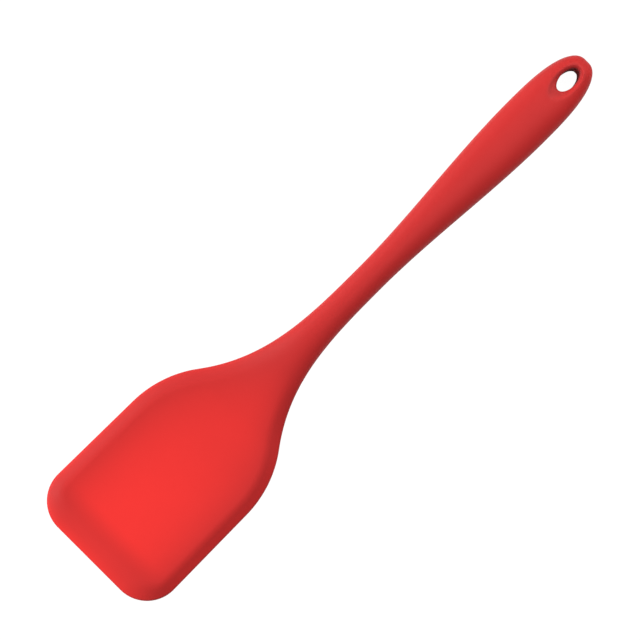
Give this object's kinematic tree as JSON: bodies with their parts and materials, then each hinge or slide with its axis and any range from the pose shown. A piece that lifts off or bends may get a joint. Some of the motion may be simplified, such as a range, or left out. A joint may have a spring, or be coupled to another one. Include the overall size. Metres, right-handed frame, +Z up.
{
  "type": "silicone turner",
  "caption": "Seamless silicone turner: shallow dished blade with bevelled edges, slim neck and oval handle with a hanging hole, moulded over a steel and nylon core.",
  "frame": {"origin": "centre of the bounding box's bottom face: on the table, under the middle of the tool as it lies face up", "axes": "+X from the blade's front edge to the handle's tip, +Y across the blade, +Z up out of the blade's face"},
  "size_m": [0.3316, 0.0774, 0.0176],
  "materials": {
    "silicone": "satin red silicone with a fine mould grain",
    "plate_steel": "rolled spring steel sheet, deburred",
    "bar_steel": "drawn flat bar",
    "rivet_steel": "upset heads",
    "nylon": "glass-filled nylon, matte, natural colour"
  },
  "bodies": {
    "root": {"silicone_skin": "silicone", "blade_plate": "plate_steel", "stem_bar": "bar_steel", "stem_rivets": "rivet_steel", "handle_core": "nylon"}
  },
  "joints": []
}
